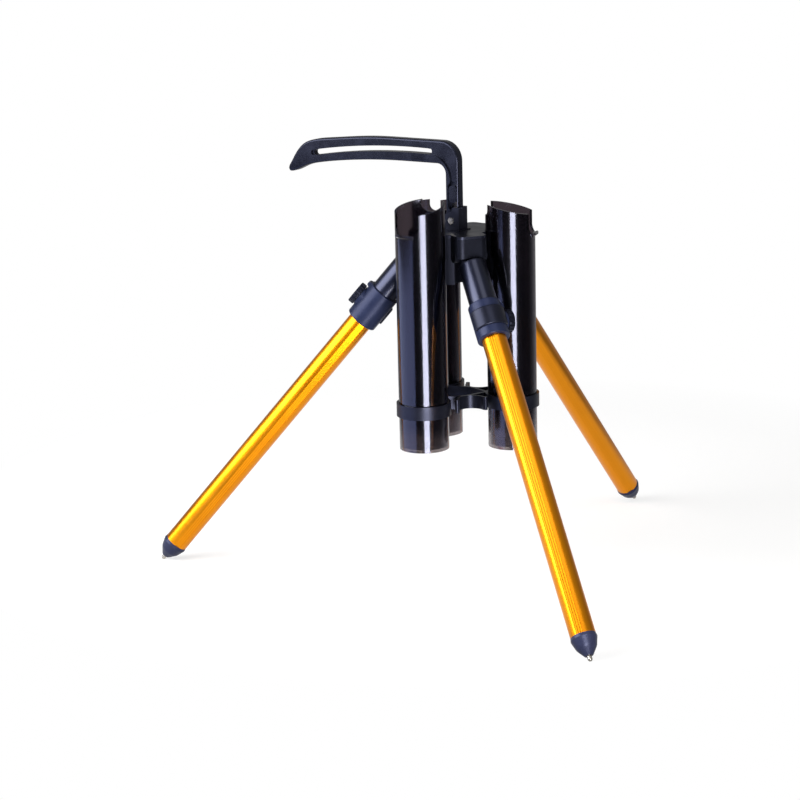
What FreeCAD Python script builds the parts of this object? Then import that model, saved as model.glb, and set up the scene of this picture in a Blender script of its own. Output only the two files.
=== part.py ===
import FreeCAD, Part
import math
import os
import re
import Sketcher

# Folding stand for three fishing rods: three smoke-coloured tubes round a moulded hub, three
# two-stage legs hinged between the tubes, and an L-shaped carrying handle on top.
# Origin: on the ground, under the middle of the hub. +Z is up. All sizes are in millimetres.

V = FreeCAD.Vector
doc = FreeCAD.newDocument("fishing_rod_stand")

SIZES = (
    # fits and cuts shared by several pieces
    ("running_gap", 0.3, "space beside faces that move past each other"),
    ("fit_gap", 0.05, "radial space of a pin or spigot in its hole"),
    ("seat_gap", 0.1, "radial space where a tube sits in a moulded seat"),
    ("cut_over", 2, "how far a cut runs past the face it opens"),
    ("cut_reach", 60, "reach of the large cutting blocks"),
    # rod tubes
    ("tube_radius", 25, "outside radius of a rod tube"),
    ("tube_wall", 2, "wall of a rod tube"),
    ("tube_floor", 3, "floor of a rod tube"),
    ("tube_circle_radius", 55.75, "hub axis to a rod tube's axis"),
    ("tube_bottom_depth", 201.4, "leg hinge down to the floor of the lower two tubes"),
    ("front_tube_lift_height", 7.5, "how much higher the front left tube is set"),
    ("rim_height", 244.3, "tube bottom to the middle of the slanted rim"),
    ("rim_slant_angle", 12.4, "slant of the rim in degrees, high side at the hub"),
    ("window_depth", 24.9, "middle of the rim down to the bottom of the outer window"),
    ("window_width", 28.6, "width of the outer window"),
    ("window_corner", 7, "corner radius of the outer window"),
    ("notch_depth", 7.3, "middle of the rim down to the bottom of the hub-side notch"),
    ("notch_width", 26.6, "width of the hub-side notch"),
    ("notch_corner", 7, "corner radius of the hub-side notch"),
    ("lip_reach", 3.2, "how far the window's lip turns out"),
    ("lip_height", 4.6, "height of the window's lip"),
    ("lip_edge", 1.3, "thickness of the lip at its edge"),
    ("lip_angle", 46, "how far the lip runs round the tube, in degrees"),
    ("drain_radius", 3, "drain hole in a tube's floor"),
    # hub
    ("hub_top_height", 17.3, "leg hinge up to the top of the hub body"),
    ("hood_depth", 1.7, "leg hinge down to the bottom edge of a leg hood"),
    ("core_depth", 29.7, "leg hinge down to the bottom of the hub's core"),
    ("core_radius", 34.5, "reach of the core's horns between tubes and legs"),
    ("lobe_reach", 47.6, "hub axis to the outer face of a leg hood"),
    ("lobe_width", 34, "width of a leg hood"),
    ("lobe_corner", 8, "corner radius of a leg hood"),
    ("hood_wall", 2.4, "outer wall of a leg hood"),
    ("hood_width", 24, "inside width of a leg hood"),
    ("hood_roof", 3.4, "roof over a leg hood"),
    ("hood_inner_radius", 26.4, "hub axis to the inner end of a leg hood"),
    ("leg_clearance", 0.7, "space round a folded leg in the hub"),
    ("ear_radius", 6.6, "boss round a hinge pin"),
    ("cap_thickness", 3, "thickness of the hub cap"),
    ("cap_step_width", 0.6, "step between the hub body and its cap"),
    ("cap_pad_height", 1.2, "raised pad round the handle fork"),
    ("cap_pad_margin", 2.2, "width of the raised pad"),
    ("cap_screw_gap", 2.25, "space between a cap screw's head and a tube screw"),
    ("cap_screw_radius", 1.9, "shank radius of a cap screw"),
    ("cap_screw_head_radius", 3.5, "head radius of a cap screw"),
    ("cap_screw_head_height", 2.6, "head height of a cap screw"),
    ("tube_screw_radius", 1.6, "shank radius of a tube screw"),
    ("tube_screw_head_radius", 3.3, "head radius of a tube screw"),
    ("tube_screw_length", 8, "length of a tube screw from the inside of the wall"),
    ("tube_screw_edge_distance", 10, "core's bottom or hub's top to a tube screw"),
    # leg hinges
    ("leg_spread_angle", 40.34, "angle between an opened leg and the upright, in degrees"),
    ("leg_length", 438.4, "hinge to the tip of the spike"),
    ("hinge_radius", 36, "hub axis to a leg hinge"),
    ("hinge_pin_radius", 3, "hinge pin"),
    ("eye_radius", 8.4, "knuckle's eye"),
    ("neck_thickness", 10.6, "knuckle's neck"),
    ("shoulder_drop", 13.6, "hinge down the leg to the shoulder that carries the upper tube"),
    ("plug_length", 11, "knuckle's plug in the upper tube"),
    # upper tube, collar and clamp
    ("upper_tube_radius", 14, "outside radius of the upper leg tube"),
    ("upper_tube_wall", 1.4, "wall of the upper leg tube"),
    ("upper_tube_length", 78.4, "length of the upper leg tube"),
    ("shoulder_rim", 1.2, "thickness of the knuckle's rim on the tube's end"),
    ("collar_radius", 16.4, "outside radius of the collar"),
    ("collar_length", 38.8, "length of the collar"),
    ("collar_lip", 4.5, "part of the collar below the upper tube"),
    ("collar_round", 1.2, "rounded edge of the collar"),
    ("boss_radius", 10.4, "flat boss under the clamp knob"),
    ("boss_proud", 0.7, "how far the boss stands above the collar"),
    ("lug_radius", 2.4, "small lug at the collar's upper edge"),
    ("lug_width", 9, "width of the small lug"),
    ("lug_drop", 3.2, "collar's upper end to the middle of the lug"),
    ("strap_length", 20, "clamp strap, along the leg"),
    ("strap_thickness", 1.8, "clamp strap"),
    ("strap_start_angle", 42, "angle from the knob to the near end of the strap, in degrees"),
    ("strap_wrap_angle", 136, "how far the strap runs round the collar, in degrees"),
    ("strap_round", 1.2, "rounded edges of the strap"),
    ("knob_radius", 11.8, "clamp knob"),
    ("knob_thickness", 6.2, "clamp knob"),
    ("knob_gap", 0.2, "space between boss and knob"),
    ("knob_round", 1.3, "rounded edges of the knob"),
    ("knob_grip_radius", 1.1, "hollow between two grip ribs"),
    ("knob_grips", 18, "number of hollows round the knob"),
    ("knob_dish_radius", 7, "shallow dish in the knob's face"),
    ("knob_dish_depth", 0.8, "depth of the dish"),
    ("screw_radius", 2.5, "clamp screw"),
    ("screw_hole_gap", 0.4, "space round the clamp screw in collar and tube"),
    ("pad_radius", 2.6, "clamp pad"),
    ("pad_thickness", 1.6, "clamp pad"),
    # lower tube and foot
    ("lower_tube_radius", 12.3, "outside radius of the lower leg tube"),
    ("lower_tube_wall", 1.8, "wall of the lower leg tube"),
    ("lower_tube_insert_length", 24, "lower tube inside the upper tube on a leg that is drawn out"),
    ("groove_width", 6.7, "long groove in the lower tube"),
    ("groove_depth", 0.8, "depth of a long groove"),
    ("groove_count", 3, "number of long grooves"),
    ("groove_angle", -10, "angle from the clamp knob to the nearest groove, in degrees"),
    ("bush_flange", 2.4, "guide bush above the lower tube"),
    ("bush_gap", 0.1, "space between guide bush and upper tube"),
    ("bush_spigot", 12, "guide bush inside the lower tube"),
    ("cone_height", 19.9, "foot cone below the lower tube"),
    ("cone_radius", 12.9, "foot cone at its widest"),
    ("cone_end_radius", 4.2, "foot cone at its lower end"),
    ("cone_plug", 14, "foot cone inside the lower tube"),
    ("cone_round", 9, "rounding along the foot cone"),
    ("tip_radius", 2.3, "steel spike with a round end"),
    ("spike_embed", 11, "spike inside the foot cone"),
    # lower bracket
    ("bracket_bottom_height", 41.6, "bottom of the lower two tubes up to the bracket"),
    ("bracket_height", 13.4, "height of the bracket"),
    ("ring_wall", 2.3, "ring round a rod tube"),
    ("clip_wall", 2.2, "snap clip for a folded leg"),
    ("clip_gap", 0.4, "space between clip and folded leg"),
    ("clip_bead", 2.1, "rounded end of a clip"),
    ("clip_flare", 0.9, "how far a clip's end turns out"),
    ("web_width", 3.2, "web between ring and clip"),
    # handle
    ("handle_azimuth", 155, "direction in which the grip points, in degrees from +X"),
    ("handle_pin_height", 10, "hub cap up to the handle pin"),
    ("handle_pin_radius", 2.5, "handle pin"),
    ("handle_pin_head_radius", 3.4, "head of the handle pin"),
    ("handle_pin_head_height", 1.3, "height of the handle pin's head"),
    ("stem_width", 15, "handle stem across"),
    ("arm_thickness", 10.6, "thickness of the handle"),
    ("arm_round", 2, "rounded edges of the handle"),
    ("grip_reach", 204, "handle pin across to the tip of the grip"),
    ("grip_rise", 79.4, "handle pin up to the top of the grip"),
    ("grip_slot_height", 5.8, "height of the long slot in the grip"),
    ("groove_face_width", 5.6, "groove that follows the slot and runs on down the stem"),
    ("groove_face_depth", 2.1, "depth of that groove"),
    ("recess_width", 11, "oval recess for the lock slider"),
    ("recess_bottom", 9.5, "handle pin up to the bottom of the recess"),
    ("recess_top", 38.6, "handle pin up to the top of the recess"),
    ("recess_shift", 0.8, "recess and stem groove from the stem's middle towards its outer edge"),
    ("recess_web", 3.4, "web between the two recesses"),
    ("slider_slot_width", 5.6, "slot in the web for the slider's neck"),
    ("slider_width", 9.8, "lock slider across"),
    ("slider_length", 17.6, "lock slider along the stem"),
    ("slider_bottom", 17.6, "handle pin up to the lower end of the slider"),
    ("slider_neck_length", 7, "neck between the slider's two faces"),
    ("slider_proud", 0.2, "how far the slider's faces lie below the handle's face"),
    ("slider_rib_height", 0.5, "grip ribs on the slider"),
    ("slider_rib_width", 0.8, "grip ribs on the slider"),
    ("slider_ribs", 5, "number of grip ribs on a face"),
    ("cheek_thickness", 2.3, "cheek of the handle fork"),
    ("fork_back_wall", 1.8, "back wall of the handle fork"),
    ("fork_back_gap", 0.4, "space between stem and back wall"),
    ("fork_front", 8.6, "round front of a cheek, about the handle pin"),
    ("cheek_step", 2.6, "handle pin back to the raised part of a cheek"),
    ("fork_rise", 13.6, "handle pin up to the top of the fork"),
    ("fork_slot_floor", 8.4, "handle pin down to the floor of the fork's slot"),
    ("flange_length", 26, "fork's flange under the cap, along the handle"),
    ("flange_width", 25, "fork's flange under the cap, across"),
    ("flange_thickness", 2.6, "fork's flange under the cap"),
)

sheet = doc.addObject("Spreadsheet::Sheet", "sizes")
for row, (alias, number, note) in enumerate(SIZES, start=1):
    sheet.set(f"A{row}", alias)
    sheet.set(f"B{row}", str(number))
    sheet.setAlias(f"B{row}", alias)
    sheet.set(f"C{row}", note)
doc.recompute()

ALIASES = {alias for alias, number, note in SIZES}
TUBE_AZIMUTHS = {"front_left": 240, "right": 0, "back": 120}
LEG_AZIMUTHS = {"left": 180, "front": 300, "rear": 60}
CLAMP_ROLLS = {"left": 0, "front": 95, "rear": 0}
finished = []


def size(alias):
    """The number in one cell of the sheet."""
    return float(sheet.get(alias))


def cells(text):
    """An expression in which each size's name points to its cell."""
    return re.sub(r"[a-z_]+", lambda word: f"sizes.{word[0]}" if word[0] in ALIASES else word[0], text)


def bind(thing, **expressions):
    """Tie properties to expressions, with x, y and z for the place."""
    for name, text in expressions.items():
        if text == "0":
            continue
        target = f"Placement.Base.{name}" if name in ("x", "y", "z") else name
        thing.setExpression(target, cells(text))
    return thing


def turned_to(axis):
    """The turn that lays a cylinder along x or y."""
    if axis == "x":
        return FreeCAD.Rotation(V(0, 1, 0), 90)
    if axis == "y":
        return FreeCAD.Rotation(V(1, 0, 0), -90)
    return FreeCAD.Rotation()


def cylinder(name, radius, height, x="0", y="0", z="0", axis="z"):
    made = doc.addObject("Part::Cylinder", name)
    made.Placement = FreeCAD.Placement(V(0, 0, 0), turned_to(axis))
    return bind(made, Radius=radius, Height=height, x=x, y=y, z=z)


def block(name, length, width, height, x="0", y="0", z="0"):
    made = doc.addObject("Part::Box", name)
    return bind(made, Length=length, Width=width, Height=height, x=x, y=y, z=z)


def group(name, members):
    """Several solids, or one to be placed anew, held as one piece of the list."""
    made = doc.addObject("Part::Compound", name)
    made.Links = members
    return made


def joined(name, pieces):
    if len(pieces) == 1:
        return group(name, pieces)
    made = doc.addObject("Part::MultiFuse", name)
    made.Shapes = pieces
    return made


def less(name, piece, tools):
    """The piece with the tools cut away."""
    made = doc.addObject("Part::Cut", name)
    made.Base = piece
    made.Tool = tools[0] if len(tools) == 1 else joined(name + "_cuts", tools)
    return made


def moved(piece, azimuth=0, x=0, y=0, z=0):
    """Turn a piece about the upright and move it."""
    turn = FreeCAD.Rotation(V(0, 0, 1), azimuth)
    piece.Placement = FreeCAD.Placement(V(x, y, z), turn)
    return piece


def spread(name, make, azimuths):
    """One copy of a tool for each azimuth, as a list."""
    return [moved(joined(f"{name}_{azimuth}", make(f"{name}_{azimuth}")), azimuth) for azimuth in azimuths]


def outline(body, plane, points):
    """A closed outline on one of the body's own planes, each corner tied to its expressions."""
    sketch = body.newObject("Sketcher::SketchObject", body.Name + "_outline")
    face = [item for item in body.Origin.OriginFeatures if item.Role == plane][0]
    sketch.AttachmentSupport = [(face, "")]
    sketch.MapMode = "FlatFace"
    corners = [V(*(float(sheet.evalExpression(cells(text))) for text in point), 0) for point in points]
    for index, corner in enumerate(corners):
        following = corners[(index + 1) % len(corners)]
        sketch.addGeometry(Part.LineSegment(corner, following), False)
    for index in range(len(corners)):
        sketch.addConstraint(Sketcher.Constraint("Coincident", index, 2, (index + 1) % len(corners), 1))
    for index, (across, up) in enumerate(points):
        for kind, text, number in (("DistanceX", across, corners[index].x), ("DistanceY", up, corners[index].y)):
            place = sketch.addConstraint(Sketcher.Constraint(kind, -1, 1, index, 1, number))
            sketch.setExpression(f"Constraints[{place}]", cells(text))
    return sketch


def rounded(body, base, radius, wanted):
    """Round the edges of the body's last feature that the test picks."""
    doc.recompute()
    names = [f"Edge{index}" for index, edge in enumerate(base.Shape.Edges, start=1) if wanted(edge)]
    fillet = body.newObject("PartDesign::Fillet", body.Name + "_rounding")
    fillet.Base = (base, names)
    return bind(fillet, Radius=radius)


def turned(name, points, angle="360", rounding=None):
    """A piece turned about the upright from an outline in (radius, height)."""
    body = doc.addObject("PartDesign::Body", name)
    sketch = outline(body, "XZ_Plane", points)
    feature = body.newObject("PartDesign::Revolution", name + "_turn")
    feature.Profile = sketch
    feature.ReferenceAxis = (sketch, ["V_Axis"])
    feature.Midplane = True
    bind(feature, Angle=angle)
    if rounding:
        rounded(body, feature, *rounding)
    return body


def finish(piece, name, placement=None):
    """Give a finished piece its name and its place."""
    piece.Label = name
    if placement is not None:
        piece.Placement = placement
    finished.append(piece)
    return piece


# The hinge line of the legs is the height that the whole head is set from: the middle of the
# round end of an opened leg's spike stands one tip radius above the ground.
spread_angle = math.radians(size("leg_spread_angle"))
hinge_height = (size("leg_length") - size("tip_radius")) * math.cos(spread_angle) + size("tip_radius")
floor_height = hinge_height - size("tube_bottom_depth")
cap_top = hinge_height + size("hub_top_height") + size("cap_thickness")
pivot_height = cap_top + size("handle_pin_height")


def head_place():
    """The head's pieces are drawn with the leg hinges at height zero."""
    return FreeCAD.Placement(V(0, 0, hinge_height), FreeCAD.Rotation())


# Rod tubes. Each is drawn about its own axis, its bottom at zero, its outer side towards +X.

def round_bottomed(name, start, reach, width, bottom, corner):
    """A cutting shape along X: open at the top, with two rounded corners at the bottom."""
    height = f"rim_height + cut_reach - ({bottom})"
    pieces = [
        block(name + "_middle", reach, f"{width} - 2 * {corner}", height,
              start, f"{corner} - {width} / 2", bottom),
        block(name + "_sides", reach, width, f"{height} - {corner}",
              start, f"-{width} / 2", f"{bottom} + {corner}"),
    ]
    for side, sign in (("one", "-"), ("two", "")):
        pieces.append(cylinder(f"{name}_{side}", corner, reach, start,
                               f"{sign}({width} / 2 - {corner})", f"{bottom} + {corner}", "x"))
    return joined(name, pieces)


def tube_screw_heights():
    """Heights of a tube's two screws above its hinge line."""
    lower = -size("core_depth") + size("tube_screw_edge_distance")
    upper = size("hub_top_height") - size("tube_screw_edge_distance")
    return lower, upper


def rod_tube(name, azimuth, lift):
    outside = cylinder(name + "_outside", "tube_radius", "rim_height + cut_reach")
    bore = cylinder(name + "_bore", "tube_radius - tube_wall", "rim_height + cut_reach", z="tube_floor")
    above = block(name + "_above", "2 * cut_reach", "2 * cut_reach", "2 * cut_reach",
                  "-cut_reach * cos(rim_slant_angle * 1 deg)", "-cut_reach",
                  "rim_height + cut_reach * sin(rim_slant_angle * 1 deg)")
    above.Placement.Rotation = FreeCAD.Rotation(V(0, 1, 0), size("rim_slant_angle"))
    window = round_bottomed(name + "_window", "0", "cut_reach", "window_width", "(rim_height - window_depth)",
                            "window_corner")
    notch = round_bottomed(name + "_notch", "-cut_reach", "cut_reach", "notch_width", "(rim_height - notch_depth)",
                           "notch_corner")
    drain = cylinder(name + "_drain", "drain_radius", "tube_floor + 2 * cut_over", z="-cut_over")
    wall = less(name + "_wall", outside, [bore, above, window, notch, drain])
    inner = "tube_radius - tube_wall / 2"
    lip = turned(name + "_lip", (
        (inner, "rim_height - window_depth - lip_height"),
        ("tube_radius + lip_reach", "rim_height - window_depth - lip_edge"),
        ("tube_radius + lip_reach", "(rim_height - window_depth)"),
        (inner, "rim_height - window_depth - lip_edge"),
    ), "lip_angle")
    shell = joined(name + "_shell", [wall, lip])
    holes = []
    for index, height in enumerate(tube_screw_heights()):
        hole = doc.addObject("Part::Cylinder", f"{name}_screw_hole_{index}")
        hole.Placement = FreeCAD.Placement(
            V(-size("cut_reach") / 2, 0, height + size("tube_bottom_depth") - lift), turned_to("x"))
        bind(hole, Radius="tube_screw_radius + fit_gap", Height="cut_reach / 2")
        countersink = doc.addObject("Part::Cone", f"{name}_countersink_{index}")
        countersink.Placement = FreeCAD.Placement(V(0, 0, height + size("tube_bottom_depth") - lift),
                                                  turned_to("x"))
        bind(countersink, Radius1="tube_screw_radius + fit_gap",
             Radius2="tube_screw_head_radius + fit_gap + cut_over",
             Height="tube_screw_head_radius - tube_screw_radius + cut_over",
             x="-tube_radius + tube_wall - (tube_screw_head_radius - tube_screw_radius)")
        holes += [hole, countersink]
    tube = less(name, shell, holes)
    turn = FreeCAD.Rotation(V(0, 0, 1), azimuth)
    place = turn.multVec(V(size("tube_circle_radius"), 0, 0)) + V(0, 0, floor_height + lift)
    return finish(tube, name, FreeCAD.Placement(place, turn))


for side, azimuth in TUBE_AZIMUTHS.items():
    rod_tube(f"{side}_rod_tube", azimuth, size("front_tube_lift_height") if side == "front_left" else 0)


# Hub body. Drawn with the leg hinges at height zero, a leg hood towards +X first.

def lobe(name):
    """A leg hood's block with two rounded outer corners."""
    height = "hub_top_height + hood_depth"
    low = "-hood_depth"
    corner = "lobe_reach - lobe_corner"
    side = "lobe_width / 2 - lobe_corner"
    return [
        block(name + "_long", "lobe_reach", f"2 * ({side})", height, "0", f"-({side})", low),
        block(name + "_wide", corner, "lobe_width", height, "0", "-lobe_width / 2", low),
        cylinder(name + "_corner_one", "lobe_corner", height, corner, side, low),
        cylinder(name + "_corner_two", "lobe_corner", height, corner, f"-({side})", low),
    ]


def tube_seat(name):
    """Room for one rod tube in the hub."""
    return [cylinder(name + "_seat", "tube_radius + seat_gap", "4 * cut_reach", "tube_circle_radius",
                     z="-2 * cut_reach")]


def leg_room(name):
    """Room for one leg: the swinging knuckle inside the hood and the folded tube below it."""
    length = "lobe_reach - hood_wall - hood_inner_radius"
    return [
        cylinder(name + "_tube_room", "upper_tube_radius + leg_clearance",
                 "core_depth - hood_depth + cut_over", "hinge_radius",
                 z="-core_depth - cut_over"),
        block(name + "_knuckle_room", length, "hood_width", "cut_reach", "hood_inner_radius",
              "-hood_width / 2", "hub_top_height - hood_roof - cut_reach"),
    ]


def hinge_ears(name):
    """The two bosses that carry a hinge pin."""
    length = "(lobe_width - hood_width) / 2"
    return [
        cylinder(name + "_ear_one", "ear_radius", length, "hinge_radius", "hood_width / 2", axis="y"),
        cylinder(name + "_ear_two", "ear_radius", length, "hinge_radius", "-lobe_width / 2", axis="y"),
    ]


def pin_hole(name):
    return [cylinder(name + "_hole", "hinge_pin_radius + fit_gap", "lobe_width + 2 * cut_over",
                     "hinge_radius", "-lobe_width / 2 - cut_over", axis="y")]


CAP_SCREW_PLACE = ("tube_circle_radius - tube_radius + tube_wall - tube_screw_length"
                   " - cap_screw_gap - cap_screw_head_radius")


def cap_screw_hole(name):
    """A cap screw's way up through the core, with room for its head."""
    return [
        cylinder(name + "_way", "cap_screw_radius + fit_gap", "4 * cut_reach", CAP_SCREW_PLACE,
                 z="-2 * cut_reach"),
        cylinder(name + "_head", "cap_screw_head_radius + running_gap",
                 "cap_screw_head_height + cut_over", CAP_SCREW_PLACE,
                 z="-core_depth - cut_over"),
    ]


def tube_screw_holes(name):
    """Threads for the two screws of one rod tube."""
    made = []
    for index, height in enumerate(("tube_screw_edge_distance - core_depth",
                                    "hub_top_height - tube_screw_edge_distance")):
        made.append(cylinder(
            f"{name}_{index}", "tube_screw_radius + fit_gap", "tube_screw_length + cut_over",
            "tube_circle_radius - tube_radius + tube_wall - tube_screw_length", z=height, axis="x"))
    return made


def fork_turn():
    return FreeCAD.Rotation(V(0, 0, 1), size("handle_azimuth"))


tubes = list(TUBE_AZIMUTHS.values())
legs = list(LEG_AZIMUTHS.values())
core = cylinder("hub_core", "core_radius", "core_depth + hub_top_height", z="-core_depth")
hub_block = joined("hub_block", [core] + spread("hub_lobe", lobe, legs))
hub_opened = less("hub_opened", hub_block, spread("hub_tube_seat", tube_seat, tubes)
                  + spread("hub_leg_room", leg_room, legs))
hub_eared = joined("hub_eared", [hub_opened] + spread("hub_ears", hinge_ears, legs))
flange_pocket = block("hub_flange_pocket", "flange_length + 2 * running_gap", "flange_width + 2 * running_gap",
                      "flange_thickness + cut_over")
flange_pocket.Placement = FreeCAD.Placement(fork_turn().multVec(V(
    -size("flange_length") / 2 - size("running_gap"), -size("flange_width") / 2 - size("running_gap"),
    size("hub_top_height") - size("flange_thickness"))), fork_turn())
hub = less("hub_body", hub_eared, spread("hub_pin_hole", pin_hole, legs)
           + spread("hub_cap_screw_hole", cap_screw_hole, tubes)
           + spread("hub_tube_screw_hole", tube_screw_holes, tubes) + [flange_pocket])
finish(hub, "hub_body", head_place())


# Hub cap: a plate of the hub's own outline, a little smaller, with a raised pad for the fork.

def cap_lobe(name):
    side = "lobe_width / 2 - lobe_corner"
    corner = "lobe_reach - lobe_corner"
    radius = "lobe_corner - cap_step_width"
    low = "hub_top_height"
    return [
        block(name + "_long", "lobe_reach - cap_step_width", f"2 * ({side})", "cap_thickness", "0",
              f"-({side})", low),
        block(name + "_wide", corner, "lobe_width - 2 * cap_step_width", "cap_thickness", "0",
              "cap_step_width - lobe_width / 2", low),
        cylinder(name + "_corner_one", radius, "cap_thickness", corner, side, low),
        cylinder(name + "_corner_two", radius, "cap_thickness", corner, f"-({side})", low),
    ]


def cap_tube_seat(name):
    return [cylinder(name + "_seat", "tube_radius + seat_gap + cap_step_width", "4 * cut_reach",
                     "tube_circle_radius", z="-2 * cut_reach")]


def cap_screw_thread(name):
    return [cylinder(name + "_thread", "cap_screw_radius + fit_gap", "cap_thickness / 2 + cut_over",
                     CAP_SCREW_PLACE, z="hub_top_height - cut_over")]


def fork_width():
    """Overall width of the fork: the handle, its side gaps and two cheeks."""
    return size("arm_thickness") + 2 * size("running_gap") + 2 * size("cheek_thickness")


fork_back = size("stem_width") / 2 + size("fork_back_gap") + size("fork_back_wall")
fork_length = fork_back + size("fork_front")


def beside_fork(name, margin, low, height):
    """A block round the fork's foot, wider than it by the margin."""
    made = doc.addObject("Part::Box", name)
    made.Length = fork_length + 2 * margin
    made.Width = fork_width() + 2 * margin
    made.Height = height
    made.Placement = FreeCAD.Placement(
        fork_turn().multVec(V(-fork_back - margin, -fork_width() / 2 - margin, low)), fork_turn())
    return made


cap_disc = cylinder("cap_disc", "core_radius - cap_step_width", "cap_thickness", z="hub_top_height")
cap_pad = beside_fork("cap_pad", size("cap_pad_margin"), size("hub_top_height"),
                      size("cap_thickness") + size("cap_pad_height"))
cap_block = joined("cap_block", [cap_disc, cap_pad] + spread("cap_lobe", cap_lobe, legs))
fork_way = beside_fork("cap_fork_way", size("running_gap"), -size("cut_over"), size("cut_reach"))
cap = less("hub_cap", cap_block, spread("cap_tube_seat", cap_tube_seat, tubes)
           + spread("cap_screw_thread", cap_screw_thread, tubes) + [fork_way])
finish(cap, "hub_cap", head_place())


# Screws of the head: three long ones from below that hold the cap, and two in each rod tube.

def cap_screw(name):
    low = "-core_depth"
    return [
        cylinder(name + "_shank", "cap_screw_radius",
                 "core_depth + hub_top_height + cap_thickness / 2 - running_gap",
                 CAP_SCREW_PLACE, z=low),
        cylinder(name + "_top", "cap_screw_head_radius", "cap_screw_head_height", CAP_SCREW_PLACE, z=low),
    ]


def tube_screws(name):
    """The two screws of one tube, their heads flush with the inside of its wall."""
    made = []
    face = "tube_circle_radius - tube_radius + tube_wall"
    for index, height in enumerate(("tube_screw_edge_distance - core_depth",
                                    "hub_top_height - tube_screw_edge_distance")):
        shank = cylinder(f"{name}_shank_{index}", "tube_screw_radius", "tube_screw_length - running_gap",
                         f"{face} - tube_screw_length + running_gap", z=height, axis="x")
        cone = doc.addObject("Part::Cone", f"{name}_cone_{index}")
        cone.Placement.Rotation = turned_to("x")
        bind(cone, Radius1="tube_screw_radius", Radius2="tube_screw_head_radius",
             Height="tube_screw_head_radius - tube_screw_radius",
             x=f"{face} - (tube_screw_head_radius - tube_screw_radius)", z=height)
        made.append(joined(f"{name}_{index}", [shank, cone]))
    return made


cap_screws = group("cap_screws", spread("cap_screw", cap_screw, tubes))
finish(cap_screws, "cap_screws", head_place())
all_tube_screws = []
for azimuth in tubes:
    screws = group(f"tube_screws_{azimuth}", tube_screws(f"tube_screw_{azimuth}"))
    all_tube_screws.append(moved(screws, azimuth))
finish(group("tube_screws", all_tube_screws), "tube_screws", head_place())


# Lower bracket: three rings round the rod tubes, three open clips for the folded legs, and webs.

def ring(name):
    return [cylinder(name + "_ring", "tube_radius + seat_gap + ring_wall", "bracket_height",
                     "tube_circle_radius")]


def clip(name):
    return [cylinder(name + "_clip", "lower_tube_radius + clip_gap + clip_wall", "bracket_height",
                     "hinge_radius")]


def clip_room(name):
    """The inside of a clip and its open mouth."""
    radius = "lower_tube_radius + clip_gap"
    side = f"({radius} + clip_wall + running_gap)"
    return [
        cylinder(name + "_inside", radius, "3 * bracket_height", "hinge_radius", z="-bracket_height"),
        block(name + "_mouth", "cut_reach", f"2 * {side}", "3 * bracket_height", "hinge_radius",
              f"-{side}", "-bracket_height"),
    ]


def clip_beads(name):
    """The rounded ends of a clip, turned a little out."""
    side = "lower_tube_radius + clip_gap + clip_bead + clip_flare - running_gap"
    place = "hinge_radius"
    return [
        cylinder(name + "_bead_one", "clip_bead", "bracket_height", place, side),
        cylinder(name + "_bead_two", "clip_bead", "bracket_height", place, f"-({side})"),
    ]


def web_between(name, leg_azimuth, tube_azimuth):
    """A straight web from the back of a clip to the hub side of a ring."""
    clip_back = size("hinge_radius") - size("lower_tube_radius") - size("clip_gap") - size("clip_wall") / 2
    ring_side = size("tube_circle_radius") - size("tube_radius") - size("seat_gap") - size("ring_wall") / 2
    start = FreeCAD.Rotation(V(0, 0, 1), leg_azimuth).multVec(V(clip_back, 0, 0))
    end = FreeCAD.Rotation(V(0, 0, 1), tube_azimuth).multVec(V(ring_side, 0, 0))
    along = end - start
    web = doc.addObject("Part::Box", name)
    web.Length = along.Length
    bind(web, Width="web_width", Height="bracket_height")
    lay = FreeCAD.Rotation(V(1, 0, 0), along)
    web.Placement = FreeCAD.Placement(start + lay.multVec(V(0, -size("web_width") / 2, 0)), lay)
    return web


webs = []
for leg_azimuth in legs:
    for tube_azimuth in (leg_azimuth - 60, leg_azimuth + 60):
        webs.append(web_between(f"web_{leg_azimuth}_{tube_azimuth % 360}", leg_azimuth, tube_azimuth))
bracket_block = joined("bracket_block", spread("bracket_ring", ring, tubes)
                       + spread("bracket_clip", clip, legs) + webs)
bracket_open = less("bracket_open", bracket_block, spread("bracket_tube_seat", tube_seat, tubes)
                    + spread("bracket_clip_room", clip_room, legs))
bracket = joined("lower_bracket", [bracket_open] + spread("bracket_bead", clip_beads, legs))
finish(bracket, "lower_bracket",
       FreeCAD.Placement(V(0, 0, floor_height + size("bracket_bottom_height")), FreeCAD.Rotation()))


# Handle fork: two cheeks and a back wall on a flange that the cap holds down. Drawn with the pin
# at the origin, the grip towards +X and the pin along Y.
def fork_outline():
    """The fork's side view, as a closed wire, low at the side to which the handle folds."""
    base = -(size("handle_pin_height") + size("cap_thickness"))
    rise = size("fork_rise")
    front = size("fork_front")
    half_way = V(front * math.sqrt(0.5), 0, front * math.sqrt(0.5))
    corners = [V(0, 0, front), V(-size("cheek_step"), 0, rise), V(-fork_back, 0, rise), V(-fork_back, 0, base),
               V(front, 0, base), V(front, 0, 0)]
    edges = [Part.LineSegment(one, two).toShape() for one, two in zip(corners, corners[1:])]
    return Part.Wire(edges + [Part.Arc(corners[-1], half_way, corners[0]).toShape()])


def handle_place():
    """Handle and fork share one place: the pin's middle, turned to the grip's direction."""
    return FreeCAD.Placement(V(0, 0, pivot_height), fork_turn())


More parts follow.
